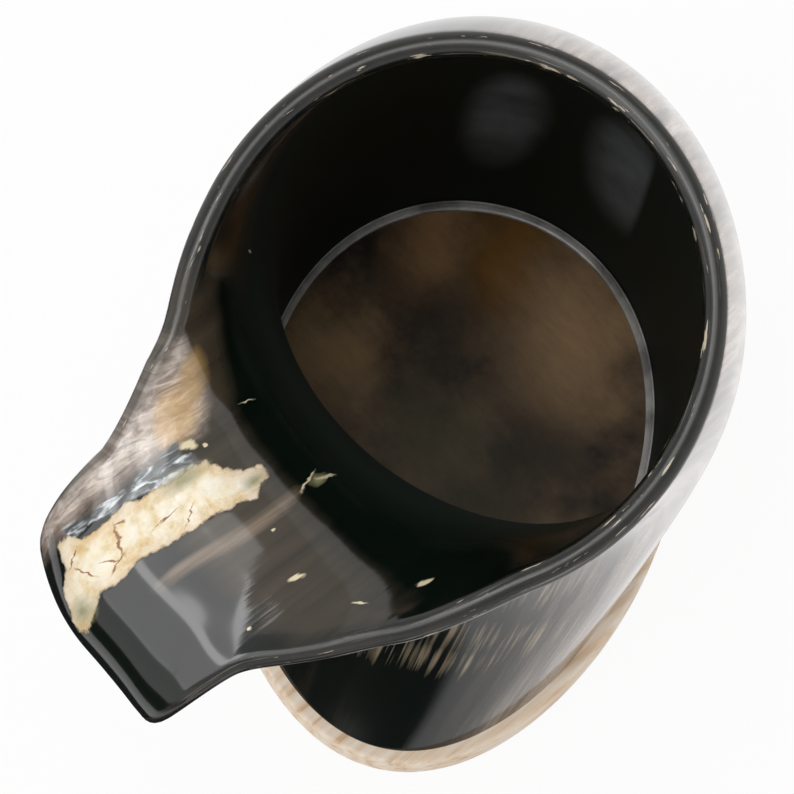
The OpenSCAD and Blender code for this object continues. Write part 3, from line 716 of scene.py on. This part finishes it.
def addStage(name, points, faces):  # white by itself to camera, gloss and glass, and lit like any surface beyond that
    mesh = bpy.data.meshes.new(name)
    mesh.from_pydata(points, [], faces)
    material, tree, shader = newMaterial(name)
    shader.inputs["Base Color"].default_value = toLinear(studio["colour"])
    shader.inputs["Roughness"].default_value = studio["roughness"]
    path = addNode(tree, "LightPath")
    seen = addNode(tree, "Math", dict(operation="MAXIMUM"), {0: (path, "Is Camera Ray"), 1: (path, "Is Glossy Ray")})
    seen = addNode(tree, "Math", dict(operation="MAXIMUM"), {0: (seen, 0), 1: (path, "Is Transmission Ray")})
    share = addNode(tree, "Math", {"operation": "MULTIPLY", 1: studio["white"]}, {0: (seen, 0)})
    glow = addNode(tree, "Emission", {"Color": "#ffffff", "Strength": 1.0})
    mixed = addNode(tree, "MixShader", {}, {0: (share, 0), 1: (shader, 0), 2: (glow, 0)})
    tree.links.new(mixed.outputs[0], tree.nodes["Material Output"].inputs["Surface"])
    mesh.materials.append(material)
    stage = bpy.data.objects.new(name, mesh)
    scene.collection.objects.link(stage)


def addCard(x0, y0, x1, y1):  # seen by gloss alone; its near edge is moved by a slow wave and fades in
    z, (clearTo, darkFrom) = studio["cardHeight"], studio["cardEdge"]
    mesh = bpy.data.meshes.new("darkCard")
    mesh.from_pydata([(x0, y0, z), (x1, y0, z), (x1, y1, z), (x0, y1, z)], [], [(0, 1, 2, 3)])
    material, tree, shader = newMaterial("darkCard")
    shader.inputs["Base Color"].default_value = toLinear(studio["cardColour"])
    shader.inputs["Roughness"].default_value = studio["roughness"]
    place = addNode(tree, "TexCoord")
    wavy = addNode(tree, "TexNoise", {"Scale": 1 / studio["cardWave"], "Detail": 1.0}, {"Vector": (place, "Object")})
    apart = addNode(tree, "SeparateXYZ", {}, {0: (place, "Object")})
    moved = addNode(tree, "Math", {"operation": "MULTIPLY_ADD", 1: studio["cardSway"]}, {0: (wavy, 0), 2: (apart, 0)})
    share = addNode(tree, "MapRange", {"From Min": x0 + clearTo, "From Max": x0 + darkFrom}, {"Value": (moved, 0)})
    clear = addNode(tree, "BsdfTransparent")
    mixed = addNode(tree, "MixShader", {}, {0: (share, 0), 1: (clear, 0), 2: (shader, 0)})
    tree.links.new(mixed.outputs[0], tree.nodes["Material Output"].inputs["Surface"])
    mesh.materials.append(material)
    card = bpy.data.objects.new("darkCard", mesh)
    card.visible_camera = card.visible_diffuse = card.visible_shadow = card.visible_transmission = False
    scene.collection.objects.link(card)


def addBox(name, place, target, width, height, power):  # a soft box that faces its target
    data = bpy.data.lights.new(name, "AREA")
    data.shape, data.size, data.size_y, data.energy = "RECTANGLE", width, height, power
    lamp = bpy.data.objects.new(name, data)
    back = unit(np.array(place) - np.array(target))
    lamp.matrix_world = placed(unit(np.cross((0, 1, 0), back)), back, place)
    scene.collection.objects.link(lamp)


def addStudio():
    half = studio["tableSize"] / 2
    addStage("table", [(-half, -half, 0), (half, -half, 0), (half, half, 0), (-half, half, 0)], [(0, 1, 2, 3)])
    turn = np.linspace(0, 2 * np.pi, studio["wallColumns"], endpoint=False)
    low = np.stack([np.cos(turn), np.sin(turn), 0 * turn], -1) * studio["wallRadius"]
    ids = wrapped(np.arange(2 * len(turn)).reshape(2, -1))
    wall = np.concatenate([low, low + [0, 0, studio["wallHeight"]]])
    addStage("wall", wall.tolist(), gridFaces(ids[::-1]).tolist())
    for low, high in studio["cards"]:
        addCard(*low, *high)
    world = bpy.data.worlds.new("ceiling")
    world.use_nodes = True
    scene.world = world
    world.node_tree.nodes["Background"].inputs["Color"].default_value = toLinear("#ffffff")
    world.node_tree.nodes["Background"].inputs["Strength"].default_value = studio["ceiling"]
    for box in studio["boxes"]:
        addBox(*box)
    print("studio ready")


addCamera()
addStudio()
